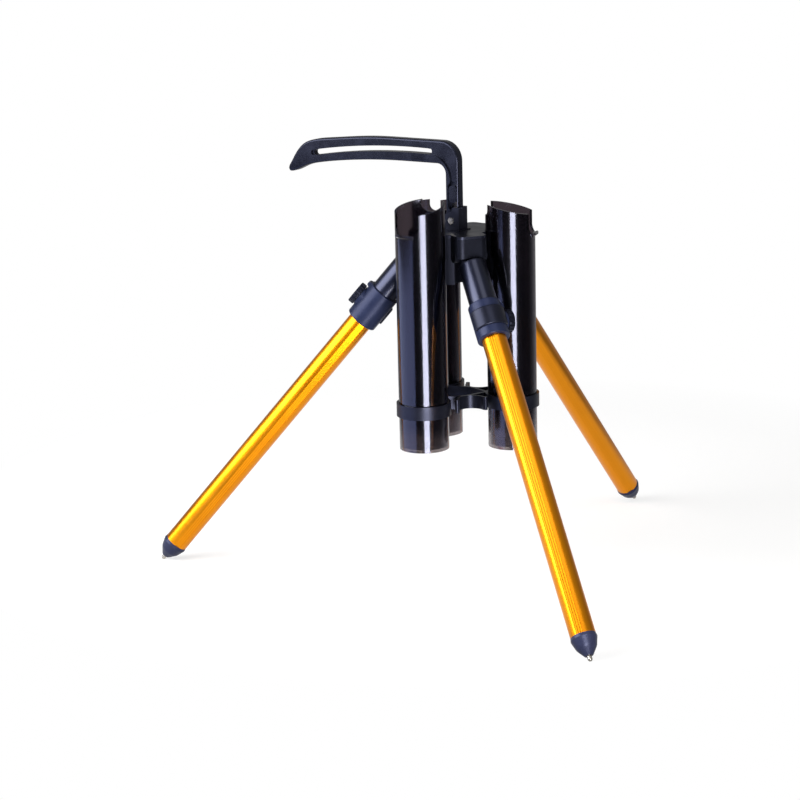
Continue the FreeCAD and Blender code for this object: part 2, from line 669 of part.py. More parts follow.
fork_face = doc.addObject("Part::Feature", "fork_side")
fork_face.Shape = Part.Face(fork_outline())
fork_solid = doc.addObject("Part::Extrusion", "fork_solid")
fork_solid.Base = fork_face
fork_solid.DirMode = "Custom"
fork_solid.Dir = V(0, 1, 0)
fork_solid.Solid = True
fork_solid.Symmetric = True
bind(fork_solid, LengthFwd="arm_thickness + 2 * running_gap + 2 * cheek_thickness")
fork_flange = block("fork_flange", "flange_length", "flange_width", "flange_thickness", "-flange_length / 2",
                    "-flange_width / 2", "-(handle_pin_height + cap_thickness + flange_thickness)")
fork_block = joined("fork_block", [fork_solid, fork_flange])
fork_slot = block("fork_slot", "cut_reach", "arm_thickness + 2 * running_gap", "cut_reach",
                  "-(stem_width / 2 + fork_back_gap)", "-(arm_thickness / 2 + running_gap)", "-fork_slot_floor")
fork_pin_hole = cylinder("fork_pin_hole", "handle_pin_radius + fit_gap", "2 * cut_reach", y="-cut_reach",
                         axis="y")
head_room = "handle_pin_head_radius + running_gap"
cheek_face = "(arm_thickness / 2 + running_gap + cheek_thickness)"
head_rooms = [
    cylinder("fork_head_room", head_room, "cut_reach", y=f"{cheek_face} - handle_pin_head_height", axis="y"),
    cylinder("fork_end_room", head_room, "cut_reach", y=f"handle_pin_head_height - {cheek_face} - cut_reach",
             axis="y"),
]
fork = less("handle_fork", fork_block, [fork_slot, fork_pin_hole] + head_rooms)
finish(fork, "handle_fork", handle_place())

pin_half = "arm_thickness / 2 + running_gap + cheek_thickness - handle_pin_head_height"
handle_pin = joined("handle_pin", [
    cylinder("handle_pin_shank", "handle_pin_radius", f"2 * ({pin_half})", y=f"-({pin_half})", axis="y"),
    cylinder("handle_pin_head", "handle_pin_head_radius", "handle_pin_head_height", y=pin_half, axis="y"),
    cylinder("handle_pin_end", "handle_pin_head_radius", "handle_pin_head_height",
             y=f"-({pin_half}) - handle_pin_head_height", axis="y"),
])
finish(handle_pin, "handle_pin", handle_place())


# Handle arm. Its outline lies in the XZ plane with the pin at the origin. Each point is a pair of
# shares: of the grip's reach across, and of the grip's rise up.
GRIP_SHARES = (
    (0.150, 1.000), (0.300, 1.000), (0.450, 0.997), (0.600, 0.973), (0.735, 0.940), (0.840, 0.905),
    (0.896, 0.852), (0.932, 0.775), (0.962, 0.675), (0.986, 0.580), (0.998, 0.508), (0.992, 0.478),
    (0.972, 0.474), (0.893, 0.553), (0.795, 0.614), (0.640, 0.664), (0.460, 0.698), (0.270, 0.709),
)
SLOT_MIDDLE_SHARES = ((0.133, 0.856), (0.455, 0.846), (0.824, 0.742))
OUTER_CORNER_SHARE = 0.25
INNER_CORNER_SHARE = 0.13


def across(pair):
    """A place in the handle's plane from its two shares."""
    return V(pair[0] * size("grip_reach"), 0, pair[1] * size("grip_rise"))


def arc_through(shares):
    return Part.Arc(*(across(pair) for pair in shares)).toShape()


def line(start, end):
    return Part.LineSegment(start, end).toShape()


def corner_arc(start, corner, end):
    """A quarter round between an upright and a nearly level run."""
    middle = (start + end) * 0.5
    bulge = corner - middle
    quarter = middle + bulge * (math.sqrt(2) - 1)
    return Part.Arc(start, quarter, end).toShape()


def arm_outline():
    """The handle's closed outline: round lower end, stem, corner, arched grip and hooked tip."""
    half = size("stem_width") / 2
    points = [across(pair) for pair in GRIP_SHARES]
    top, under = points[0], points[-1]
    outer = size("grip_rise") * OUTER_CORNER_SHARE
    inner = size("grip_rise") * INNER_CORNER_SHARE
    outer_low, outer_high = V(-half, 0, top.z - outer), V(outer - half, 0, top.z)
    inner_low, inner_high = V(half, 0, under.z - inner), V(half + inner, 0, under.z)
    grip = Part.BSplineCurve()
    grip.interpolate(Points=points, InitialTangent=V(1, 0, 0), FinalTangent=V(-1, 0, 0))
    return Part.Wire([
        Part.Arc(V(half, 0, 0), V(0, 0, -half), V(-half, 0, 0)).toShape(),
        line(V(-half, 0, 0), outer_low),
        corner_arc(outer_low, V(-half, 0, top.z), outer_high),
        line(outer_high, top),
        grip.toShape(),
        line(under, inner_high),
        corner_arc(inner_high, V(half, 0, under.z), inner_low),
        line(inner_low, V(half, 0, 0)),
    ])


def band(path, width, depth, middle):
    """A solid band of one width along a path, as deep as given, its middle at one side distance."""
    face = Part.Face(path.makeOffset2D(width / 2, 0, False, False, True))
    face.translate(V(0, middle - depth / 2, 0))
    return face.extrude(V(0, depth, 0))


def upright_oval(width, low, high, depth, middle, aside=0):
    """An upright slot shape with two round ends."""
    radius = width / 2
    foot = V(aside, middle - depth / 2, low + radius)
    head = V(aside, middle - depth / 2, high - radius)
    box = Part.makeBox(width, depth, high - low - width, foot - V(radius, 0, 0))
    ends = [Part.makeCylinder(radius, depth, place, V(0, 1, 0)) for place in (foot, head)]
    return box.multiFuse(ends)


def arm_shape():
    thickness = size("arm_thickness")
    face = Part.Face(arm_outline())
    face.translate(V(0, -thickness / 2, 0))
    solid = face.extrude(V(0, thickness, 0))
    side_edges = [edge for edge in solid.Edges
                  if abs(abs(edge.CenterOfMass.y) - thickness / 2) < size("fit_gap")]
    solid = solid.makeFillet(size("arm_round"), side_edges)
    deep = thickness + 2 * size("cut_over")
    slot_path = Part.Wire([arc_through(SLOT_MIDDLE_SHARES)])
    cuts = [band(slot_path, size("grip_slot_height"), deep, 0)]
    slot_start = across(SLOT_MIDDLE_SHARES[0])
    shift = size("recess_shift")
    turn_radius = slot_start.x + shift
    groove_low = V(-shift, 0, size("recess_top") + size("groove_face_width"))
    slot_arc = arc_through(SLOT_MIDDLE_SHARES)
    slot_end = slot_arc.valueAt(slot_arc.LastParameter)
    groove_end = slot_end + slot_arc.tangentAt(slot_arc.LastParameter) * size("groove_face_width") / 2
    groove_path = Part.Wire([
        line(groove_low, V(-shift, 0, slot_start.z - turn_radius)),
        corner_arc(V(-shift, 0, slot_start.z - turn_radius), V(-shift, 0, slot_start.z), slot_start),
        slot_arc,
        line(slot_end, groove_end),
    ])
    for side in (-1, 1):
        depth = 2 * size("groove_face_depth")
        cuts.append(band(groove_path, size("groove_face_width"), depth, side * thickness / 2))
        pocket = thickness - size("recess_web")
        cuts.append(upright_oval(size("recess_width"), size("recess_bottom"), size("recess_top"),
                                 pocket, side * (size("recess_web") / 2 + pocket / 2), -shift))
    slot_low = size("recess_bottom") + size("running_gap")
    slot_high = size("slider_bottom") + size("slider_neck_length") + 2 * size("running_gap")
    cuts.append(upright_oval(size("slider_slot_width"), slot_low, slot_high + size("slider_slot_width") / 2,
                             deep, 0, -shift))
    cuts.append(Part.makeCylinder(size("handle_pin_radius") + size("fit_gap"), deep, V(0, -deep / 2, 0),
                                  V(0, 1, 0)))
    return solid.cut(cuts)


arm = doc.addObject("Part::Feature", "handle_arm")
arm.Shape = arm_shape()
finish(arm, "handle_arm", handle_place())


def slider_shape():
    """The lock slider: a ribbed face on each side of the stem, joined by a neck through the slot."""
    low = size("slider_bottom")
    high = low + size("slider_length")
    aside = -size("recess_shift")
    inside = size("recess_web") / 2 + size("running_gap")
    outside = size("arm_thickness") / 2 - size("slider_proud") - size("slider_rib_height")
    depth = outside - inside
    pieces = []
    for side in (-1, 1):
        pieces.append(upright_oval(size("slider_width"), low, high, depth, side * (inside + depth / 2), aside))
        pitch = (size("slider_length") - size("slider_width")) / (size("slider_ribs") - 1)
        for index in range(int(size("slider_ribs"))):
            level = low + size("slider_width") / 2 + index * pitch
            rib_width = size("slider_width") - 2 * size("slider_rib_width")
            start = outside - size("slider_rib_height") if side > 0 else -outside - size("slider_rib_height")
            pieces.append(Part.makeBox(rib_width, 2 * size("slider_rib_height"), size("slider_rib_width"),
                                       V(aside - rib_width / 2, start, level - size("slider_rib_width") / 2)))
    neck_width = size("slider_slot_width") - 2 * size("running_gap")
    pieces.append(upright_oval(neck_width, low + size("running_gap"), low + size("slider_neck_length"),
                               2 * inside + size("slider_rib_height"), 0, aside))
    return pieces[0].multiFuse(pieces[1:]).removeSplitter()


slider = doc.addObject("Part::Feature", "lock_slider")
slider.Shape = slider_shape()
finish(slider, "lock_slider", handle_place())


# Legs. Every piece is drawn with the hinge at the origin, the pin along Y and the leg hanging
# down along -Z, as it lies when folded. The opened place turns it out about the pin.

def leg_place(azimuth, roll=0):
    around = FreeCAD.Rotation(V(0, 0, 1), azimuth)
    outward = FreeCAD.Rotation(V(0, 1, 0), -size("leg_spread_angle"))
    about_leg = FreeCAD.Rotation(V(0, 0, 1), roll)
    place = around.multVec(V(size("hinge_radius"), 0, 0)) + V(0, 0, hinge_height)
    return FreeCAD.Placement(place, around.multiply(outward).multiply(about_leg))


def fixed_leg_place(azimuth):
    """The pin doesn't swing with the leg."""
    around = FreeCAD.Rotation(V(0, 0, 1), azimuth)
    place = around.multVec(V(size("hinge_radius"), 0, 0)) + V(0, 0, hinge_height)
    return FreeCAD.Placement(place, around)


TUBE_END = "(shoulder_drop + upper_tube_length)"
COLLAR_END = f"({TUBE_END} + collar_lip)"
COLLAR_TOP = f"({COLLAR_END} - collar_length)"
CLAMP_DROP = f"({COLLAR_END} - collar_length / 2)"
FOOT_TOP = "(leg_length - cone_height - tip_radius * 2.4)"
LOWER_TOP = f"({TUBE_END} - lower_tube_insert_length)"


def hinge_pin(name, azimuth):
    """A plain pressed-in pin, its ends a little inside the hood's sides."""
    half = "(lobe_width / 2 - running_gap)"
    pin = cylinder(name + "_shank", "hinge_pin_radius", f"2 * {half}", y=f"-{half}", axis="y")
    return finish(group(name, [pin]), name, fixed_leg_place(azimuth))


def knuckle(name, azimuth):
    """The moulded eye on the hinge pin, with the shoulder and plug for the upper tube."""
    width = "(hood_width - 2 * running_gap)"
    solid = joined(name + "_solid", [
        cylinder(name + "_eye", "eye_radius", width, y=f"-{width} / 2", axis="y"),
        block(name + "_neck", "neck_thickness", f"{width} - 2 * running_gap", "shoulder_drop",
              "-neck_thickness / 2", f"-{width} / 2 + running_gap", "-shoulder_drop"),
        cylinder(name + "_rim", "upper_tube_radius", "shoulder_rim", z="-shoulder_drop"),
        cylinder(name + "_plug", "upper_tube_radius - upper_tube_wall - fit_gap", "plug_length",
                 z="-shoulder_drop - plug_length"),
    ])
    hole = cylinder(name + "_pin_hole", "hinge_pin_radius + fit_gap", f"{width} + 2 * cut_over",
                    y=f"-{width} / 2 - cut_over", axis="y")
    return finish(less(name, solid, [hole]), name, leg_place(azimuth))


def side_hole(name, radius, inner, outer):
    """A hole along X for the clamp screw."""
    return cylinder(name, radius, f"({outer}) - ({inner})", inner, "0", f"-{CLAMP_DROP}", "x")


def upper_tube(name, azimuth, roll):
    tube = turned(name + "_tube", (
        ("upper_tube_radius - upper_tube_wall", f"-{TUBE_END}"),
        ("upper_tube_radius", f"-{TUBE_END}"),
        ("upper_tube_radius", "-shoulder_drop"),
        ("upper_tube_radius - upper_tube_wall", "-shoulder_drop"),
    ))
    hole = side_hole(name + "_screw_hole", "pad_radius + screw_hole_gap", "0", "cut_reach")
    return finish(less(name, tube, [hole]), name, leg_place(azimuth, roll))


def collar(name, azimuth, roll):
    """The moulded sleeve, with a flat boss for the knob and a small lug at its upper edge."""
    bore = "upper_tube_radius + fit_gap"
    lip_bore = "lower_tube_radius + seat_gap"
    sleeve = turned(name + "_sleeve", (
        (lip_bore, f"-{COLLAR_END}"),
        ("collar_radius", f"-{COLLAR_END}"),
        ("collar_radius", f"-{COLLAR_TOP}"),
        (bore, f"-{COLLAR_TOP}"),
        (bore, f"-{TUBE_END} - fit_gap"),
        (lip_bore, f"-{TUBE_END} - fit_gap"),
    ), rounding=("collar_round", lambda edge: edge.BoundBox.XMax > size("collar_radius") - size("fit_gap")))
    boss = cylinder(name + "_boss", "boss_radius", "collar_radius + boss_proud", "0", "0", f"-{CLAMP_DROP}", "x")
    lug = cylinder(name + "_lug", "lug_radius", "lug_width", "collar_radius", "-lug_width / 2",
                   f"-{COLLAR_TOP} - lug_drop", "y")
    solid = joined(name + "_solid", [sleeve, boss, lug])
    room = cylinder(name + "_bore", bore, "collar_length - collar_lip - fit_gap", z=f"-{TUBE_END} - fit_gap")
    hole = side_hole(name + "_screw_hole", "screw_radius + screw_hole_gap", "0", "cut_reach")
    return finish(less(name, solid, [room, hole]), name, leg_place(azimuth, roll))


def clamp_strap(name, azimuth, roll):
    """A curved jaw that lies on the collar beside the knob."""
    inner = "collar_radius + fit_gap"
    outer = "collar_radius + fit_gap + strap_thickness"
    strap = turned(name, (
        (inner, f"-{CLAMP_DROP} - strap_length / 2"),
        (outer, f"-{CLAMP_DROP} - strap_length / 2"),
        (outer, f"-{CLAMP_DROP} + strap_length / 2"),
        (inner, f"-{CLAMP_DROP} + strap_length / 2"),
    ), "strap_wrap_angle", ("strap_round", lambda edge: strap_outer_edge(edge)))
    middle = -(size("strap_start_angle") + size("strap_wrap_angle") / 2)
    return finish(strap, name, leg_place(azimuth, roll + middle))


def strap_outer_edge(edge):
    """Edges that lie wholly on the strap's outer face."""
    outer = size("collar_radius") + size("fit_gap") + size("strap_thickness")
    return all(abs(math.hypot(corner.X, corner.Y) - outer) < size("fit_gap") for corner in edge.Vertexes)


def clamp_pad(name, azimuth, roll):
    start = "lower_tube_radius + seat_gap"
    pad = cylinder(name + "_disc", "pad_radius", "pad_thickness", start, "0", f"-{CLAMP_DROP}", "x")
    return finish(group(name, [pad]), name, leg_place(azimuth, roll))


def knob_place(azimuth, roll):
    """The knob's axis is a radius of the collar, at the clamp's height down the leg."""
    place = leg_place(azimuth, roll)
    drop = size("shoulder_drop") + size("upper_tube_length") + size("collar_lip") - size("collar_length") / 2
    lay = FreeCAD.Rotation(V(0, 1, 0), 90)
    return place.multiply(FreeCAD.Placement(V(0, 0, -drop), lay))


def clamp_knob(name, azimuth, roll):
    """A ribbed disc, drawn on its own axis, its distance from the leg's axis along Z."""
    low = "collar_radius + boss_proud + knob_gap"
    high = f"{low} + knob_thickness"
    edge_radius = size("knob_radius")
    disc = turned(name + "_disc", (
        ("screw_radius", low),
        ("knob_radius", low),
        ("knob_radius", high),
        ("knob_dish_radius", high),
        ("knob_dish_radius - knob_dish_depth", f"{high} - knob_dish_depth"),
        ("screw_radius", f"{high} - knob_dish_depth"),
    ), rounding=("knob_round", lambda edge: edge.BoundBox.XMax > edge_radius - size("fit_gap")))
    hollows = []
    for index in range(int(size("knob_grips"))):
        turn = f"360 deg * {index} / knob_grips"
        hollows.append(cylinder(f"{name}_grip_{index}", "knob_grip_radius", "2 * cut_reach",
                                f"knob_radius * cos({turn})", f"knob_radius * sin({turn})", "-cut_reach"))
    return finish(less(name, disc, hollows), name, knob_place(azimuth, roll))


def clamp_screw(name, azimuth, roll):
    """The steel screw in the knob, which presses the pad."""
    start = "lower_tube_radius + seat_gap + pad_thickness + fit_gap"
    end = "collar_radius + boss_proud + knob_gap + knob_thickness - knob_dish_depth"
    shank = cylinder(name + "_shank", "screw_radius", f"{end} - ({start})", z=start)
    return finish(group(name, [shank]), name, knob_place(azimuth, roll))


def lower_tube(name, azimuth, roll):
    """Extruded tube with long grooves; the first lies a little beside the clamp's pad."""
    tube = turned(name + "_tube", (
        ("lower_tube_radius - lower_tube_wall", f"-{FOOT_TOP}"),
        ("lower_tube_radius", f"-{FOOT_TOP}"),
        ("lower_tube_radius", f"-{LOWER_TOP}"),
        ("lower_tube_radius - lower_tube_wall", f"-{LOWER_TOP}"),
    ))
    grooves = []
    for index in range(int(size("groove_count"))):
        cutter = block(f"{name}_groove_{index}", "cut_reach", "groove_width",
                       f"{FOOT_TOP} - {LOWER_TOP} + 2 * cut_over",
                       "lower_tube_radius - groove_depth", "-groove_width / 2", f"-{FOOT_TOP} - cut_over")
        holder = group(f"{name}_groove_{index}_turned", [cutter])
        grooves.append(moved(holder, size("groove_angle") + 360 * index / size("groove_count")))
    return finish(less(name, tube, grooves), name, leg_place(azimuth, roll))


def guide_bush(name, azimuth):
    """Plastic plug on the lower tube's upper end, which guides it in the upper tube."""
    spigot = "lower_tube_radius - lower_tube_wall - fit_gap"
    solid = joined(name + "_solid", [
        cylinder(name + "_flange", "upper_tube_radius - upper_tube_wall - bush_gap", "bush_flange",
                 z=f"-{LOWER_TOP}"),
        cylinder(name + "_spigot", spigot, "bush_spigot", z=f"-{LOWER_TOP} - bush_spigot"),
    ])
    hollow = cylinder(name + "_hollow", f"{spigot} - lower_tube_wall", "bush_spigot + bush_flange + 2 * cut_over",
                      z=f"-{LOWER_TOP} - bush_spigot - cut_over")
    return finish(less(name, solid, [hollow]), name, leg_place(azimuth))


def foot_cone(name, azimuth):
    end = f"({FOOT_TOP} + cone_height)"
    spike_bore = "tip_radius + fit_gap"
    plug = "lower_tube_radius - lower_tube_wall - fit_gap"
    smooth = ("cone_round", lambda edge: on_cone_side(edge))
    cone = turned(name, (
        (spike_bore, f"-{end}"),
        ("cone_end_radius", f"-{end}"),
        ("cone_radius * 0.78", f"-{FOOT_TOP} - cone_height * 0.6"),
        ("cone_radius", f"-{FOOT_TOP} - cone_height * 0.16"),
        ("lower_tube_radius", f"-{FOOT_TOP}"),
        (plug, f"-{FOOT_TOP}"),
        (plug, f"-{FOOT_TOP} + cone_plug"),
        (f"{plug} - lower_tube_wall", f"-{FOOT_TOP} + cone_plug"),
        (f"{plug} - lower_tube_wall", f"-{FOOT_TOP} - running_gap"),
        (spike_bore, f"-{end} + spike_embed"),
    ), rounding=smooth)
    return finish(cone, name, leg_place(azimuth))


def on_cone_side(edge):
    """The edge between the cone's two slopes."""
    middle = size("cone_radius") * 0.78
    return abs(edge.BoundBox.XMax - middle) < size("fit_gap")


def foot_spike(name, azimuth):
    """Steel pin with a round end, pressed into the cone."""
    start = "(leg_length - tip_radius)"
    length = "(tip_radius * 1.4 + spike_embed - running_gap)"
    pin = cylinder(name + "_shank", "tip_radius", length, z=f"-{start}")
    tip = doc.addObject("Part::Sphere", name + "_end")
    bind(tip, Radius="tip_radius", z=f"-{start}")
    return finish(joined(name, [pin, tip]), name, leg_place(azimuth))


for leg, azimuth in LEG_AZIMUTHS.items():
    roll = CLAMP_ROLLS[leg]
    hinge_pin(f"{leg}_leg_hinge_pin", azimuth)
    knuckle(f"{leg}_leg_knuckle", azimuth)
    upper_tube(f"{leg}_upper_tube", azimuth, roll)
    collar(f"{leg}_collar", azimuth, roll)
    clamp_strap(f"{leg}_clamp_strap", azimuth, roll)
    clamp_pad(f"{leg}_clamp_pad", azimuth, roll)
    clamp_knob(f"{leg}_clamp_knob", azimuth, roll)
    clamp_screw(f"{leg}_clamp_screw", azimuth, roll)
    lower_tube(f"{leg}_lower_tube", azimuth, roll)
    guide_bush(f"{leg}_guide_bush", azimuth)
    foot_cone(f"{leg}_foot_cone", azimuth)
    foot_spike(f"{leg}_foot_spike", azimuth)


# Check every object, then write one file for each finished piece.
doc.recompute()
for item in doc.Objects:
    if "Invalid" in item.State or "Error" in item.State:
        raise RuntimeError(f"{item.Name} failed: {item.State}")
os.makedirs("parts", exist_ok=True)
for piece in finished:
    shape = piece.Shape
    if shape.isNull() or not shape.isValid():
        raise RuntimeError(f"{piece.Label} has no valid shape")
    shape.exportStep(os.path.join("parts", piece.Label + ".step"))
    box = shape.BoundBox
    print(f"{piece.Label:28s} solids {len(shape.Solids)}  volume {shape.Volume:10.1f}"
          f"  z {box.ZMin:7.2f} {box.ZMax:7.2f}")
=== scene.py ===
# %% [markdown]
# A folding stand for three fishing rods, dressed and lit as in a shop photograph.
# The measured pieces come in as a fixed frame, and their shapes are already right. This lesson gives
# each of them its real finish, and then sets up the sheet, the backdrop, the lamps and the camera.

import math

import bmesh
import bpy
from mathutils import Matrix, Vector

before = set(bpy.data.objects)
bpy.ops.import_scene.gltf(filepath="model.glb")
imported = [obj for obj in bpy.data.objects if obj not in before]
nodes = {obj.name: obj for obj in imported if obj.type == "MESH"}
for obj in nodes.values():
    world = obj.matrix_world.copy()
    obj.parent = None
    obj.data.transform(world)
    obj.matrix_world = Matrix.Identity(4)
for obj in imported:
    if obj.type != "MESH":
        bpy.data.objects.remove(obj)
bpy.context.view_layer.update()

# %% [markdown]
# Everything below is in metres, while a workshop thinks in millimetres. One value turns one into
# the other. The display is set to Standard, so that a colour shows about as it is written.

# %% Units and display
MM = 0.001
scene = bpy.context.scene
scene.view_settings.view_transform = "Standard"
print("one millimetre is", MM, "of Blender's metres")


# %% [markdown]
# Colours are picked as the eye sees them, in sRGB hex. Blender's shaders count in linear light, so
# one function turns the one into the other, with the constants of the sRGB standard.

# %% Colours
def linear(hex_colour):
    """Turn an sRGB hex value into a linear colour with alpha."""
    channels = [int(hex_colour[place:place + 2], 16) / 255 for place in (1, 3, 5)]
    return tuple(c / 12.92 if c <= 0.04045 else ((c + 0.055) / 1.055) ** 2.4 for c in channels) + (1,)


print("sRGB #808080 in linear light:", [round(c, 3) for c in linear("#808080")[:3]])


# %% [markdown]
# A material is a small network of nodes. It could be built with three calls for each node: make it,
# set it, link it. One function does all three, which keeps every material below short enough to read.
# Some sockets share a name, such as the two colours of a Mix node, so a socket can also be given by
# its number, as i6 for socket number 6.

# %% Nodes
def add(tree, kind, settings=None, **sockets):
    """Add a shader node. Values are set on its sockets, and node outputs are linked to them."""
    node = tree.nodes.new(kind)
    for name, value in (settings or {}).items():
        setattr(node, name, value)
    for name, value in sockets.items():
        numbered = name[0] == "i" and name[1:].isdigit()
        socket = node.inputs[int(name[1:]) if numbered else name.replace("_", " ")]
        if isinstance(value, bpy.types.NodeSocket):
            tree.links.new(value, socket)
        else:
            socket.default_value = value
    return node


def new_material(name):
    """A material with an empty network, ready for its finish."""
    material = bpy.data.materials.new(name)
    material.use_nodes = True
    material.node_tree.nodes.clear()
    return material, material.node_tree


print("materials so far:", len(bpy.data.materials))


# %% [markdown]
# Patterns are sized in real millimetres. A noise texture's scale is how many of its patches fit in
# one metre, so a patch of a given size has a scale of one divided by that size. A noise could reach
# from 0 to 1, but it seldom leaves the middle, so only that part is spread over a value's range.

# %% Pattern sizes
NOISE_LOW, NOISE_HIGH = 0.3, 0.7


def per(millimetres):
    """The scale of a texture whose patches are this large."""
    return 1 / (millimetres * MM)


print("patches of 2 mm need a scale of", per(2))


# %% [markdown]
# Most dark pieces are glass-filled nylon from a steel mould: hub, collars, knobs, rings and cones.
# The mould's fine spark-eroded grain gives a satin surface, blue-black here, which catches light
# in broad soft patches and never in a sharp mirror. A fine noise bump stands for that grain. A slow
# noise varies the gloss as handling does, and turns the colour a little to the paler one where the
# plastic is rubbed. Its reflections look slightly blue in this light, so they get a cool tint.

# %% Satin moulded nylon
GRAIN_MM = 0.35
GRAIN_DEPTH = 0.012 * MM
GRAIN_STRENGTH = 0.2
HANDLING_MM = 18
HANDLING_GLOSS = 0.06
RUBBED_FROM, RUBBED_TO, RUBBED_SHARE = 0.35, 0.75, 0.35
COOL_REFLECTION = "#C8D0FF"


def moulded_nylon(name, base, rubbed, roughness, shine_level=0.45):
    """Nylon with a mould's grain, in a base colour that turns paler where hands rub it."""
    material, tree = new_material(name)
    place = add(tree, "ShaderNodeTexCoord").outputs["Object"]
    slow = add(tree, "ShaderNodeTexNoise", Vector=place, Scale=per(HANDLING_MM), Detail=3.0,
               Roughness=0.55)
    fine = add(tree, "ShaderNodeTexNoise", Vector=place, Scale=per(GRAIN_MM), Detail=2.0, Roughness=0.6)
    gloss = add(tree, "ShaderNodeMapRange", Value=slow.outputs["Fac"], i1=NOISE_LOW, i2=NOISE_HIGH,
                i3=roughness - HANDLING_GLOSS, i4=roughness + HANDLING_GLOSS)
    wear = add(tree, "ShaderNodeMapRange", Value=slow.outputs["Fac"], i1=RUBBED_FROM, i2=RUBBED_TO,
               i3=0.0, i4=RUBBED_SHARE)
    colour = add(tree, "ShaderNodeMix", {"data_type": "RGBA"}, i0=wear.outputs["Result"],
                 i6=linear(base), i7=linear(rubbed))
    bump = add(tree, "ShaderNodeBump", Height=fine.outputs["Fac"], Strength=GRAIN_STRENGTH,
               Distance=GRAIN_DEPTH)
    plastic = add(tree, "ShaderNodeBsdfPrincipled", Base_Color=colour.outputs[2],
                  Roughness=gloss.outputs["Result"], Normal=bump.outputs["Normal"],
                  Specular_IOR_Level=shine_level, Specular_Tint=linear(COOL_REFLECTION))
    add(tree, "ShaderNodeOutputMaterial", Surface=plastic.outputs["BSDF"])
    return material


nylon = moulded_nylon("satin_moulded_nylon", "#0A0B12", "#12141F", 0.36, shine_level=0.32)
print("made", nylon.name, "with a grain of", GRAIN_MM, "mm")

# %% [markdown]
# The same moulder makes the other plastic pieces, each with its own tone and gloss. The collars are
# blue-black, and the foot cones a tone greyer. The hub is nearly matt, and its blacker colour is
# painted shade for the deep shade it sits in among the tubes. The handle and the small lock slider are
# a touch blacker and glossier, as pieces that a hand and a thumb polish. The clamp pads are undyed
# nylon, an off-white that yellows a little.

# %% Nylon in other tones
collar_nylon = moulded_nylon("blue_black_nylon", "#171C31", "#20263E", 0.36, shine_level=0.26)
foot_nylon = moulded_nylon("foot_nylon", "#22253A", "#2D3048", 0.36, shine_level=0.3)
# Painted shade: the hub's blacker, duller nylon stands for the deep shade round the hub.
hub_shade_nylon = moulded_nylon("matt_nylon_painted_shade", "#07080D", "#0D0E16", 0.44, shine_level=0.16)
handle_nylon = moulded_nylon("handle_nylon", "#090A11", "#11131D", 0.27, shine_level=0.28)
pad_nylon = moulded_nylon("natural_nylon", "#C9C6BC", "#D6D3CA", 0.45)
print("made", collar_nylon.name, foot_nylon.name, hub_shade_nylon.name, handle_nylon.name, pad_nylon.name)


# %% [markdown]
# The leg tubes are drawn aluminium with an anodised skin: a clear oxide layer that holds the dye, black
# above and gold below. The eye sees a metal's sheen through a thin duller gloss, so the metal gets a
# coat. Pins, screws and spikes are zinc-plated or blackened steel, without one. A slow noise makes each
# metal slightly cloudy, as plating and drawing leave it.

# %% Metal
METAL_GLOSS = 0.02
OXIDE_IOR = 1.6
OXIDE_ROUGHNESS = 0.22


def metal(name, deep, bright, roughness, cloud_mm, oxide=0.0, painted_groove_shade=None):
    """Drawn or turned metal, a little cloudy, under an oxide skin where it is anodised.

    The last argument adds painted shade, dark lines along the floors of a tube's grooves: it takes the
    tree, the place on the tube and the colour so far, and gives the colour with the lines.
    """
    material, tree = new_material(name)
    place = add(tree, "ShaderNodeTexCoord").outputs["Object"]
    cloud = add(tree, "ShaderNodeTexNoise", Vector=place, Scale=per(cloud_mm), Detail=2.0, Roughness=0.5)
    gloss = add(tree, "ShaderNodeMapRange", Value=cloud.outputs["Fac"], i1=NOISE_LOW, i2=NOISE_HIGH,
                i3=roughness - METAL_GLOSS, i4=roughness + METAL_GLOSS)
    colour = add(tree, "ShaderNodeMix", {"data_type": "RGBA"}, i0=cloud.outputs["Fac"],
                 i6=linear(deep), i7=linear(bright)).outputs[2]
    # Painted shade: dark lines along the groove floors, standing in for the shaded groove flanks.
    if painted_groove_shade:
        colour = painted_groove_shade(tree, place, colour)
    bare = add(tree, "ShaderNodeBsdfPrincipled", Base_Color=colour, Roughness=gloss.outputs["Result"],
               Metallic=1.0, Coat_Weight=oxide, Coat_IOR=OXIDE_IOR, Coat_Roughness=OXIDE_ROUGHNESS)
    add(tree, "ShaderNodeOutputMaterial", Surface=bare.outputs["BSDF"])
    return material


dark_tube = metal("dark_anodised_aluminium", "#1F2233", "#292D42", 0.36, 30, oxide=0.3)
zinc = metal("zinc_plated_steel", "#A9A49C", "#C9C5BE", 0.27, 3)
black_steel = metal("blackened_steel", "#17171C", "#22222A", 0.36, 3)
print("made", dark_tube.name, zinc.name, "and", black_steel.name)


# %% [markdown]
# Each gold tube has three flat-bottomed grooves. Fine dark lines along their floors are painted shade:
# they stand in for the shaded flanks of the grooves, which the soft light here hardly shows. They are
# part of the finish, drawn by distance. How far a point is from the tube's axis tells where on a
# groove's floor it is: the floor's middle is nearest, at 11.5 mm. By Pythagoras that gives the way
# across the floor, and a cosine of it is a row of even ridges with a line between each two. The round
# outside falls on a ridge's crest, so it stays clean.

# %% Painted shade lines on the groove floors
GROOVE_FLOOR = 11.5 * MM
LINE_PITCH = 2.18 * MM
LINE_CORE, LINE_EDGE = -0.95, -0.2


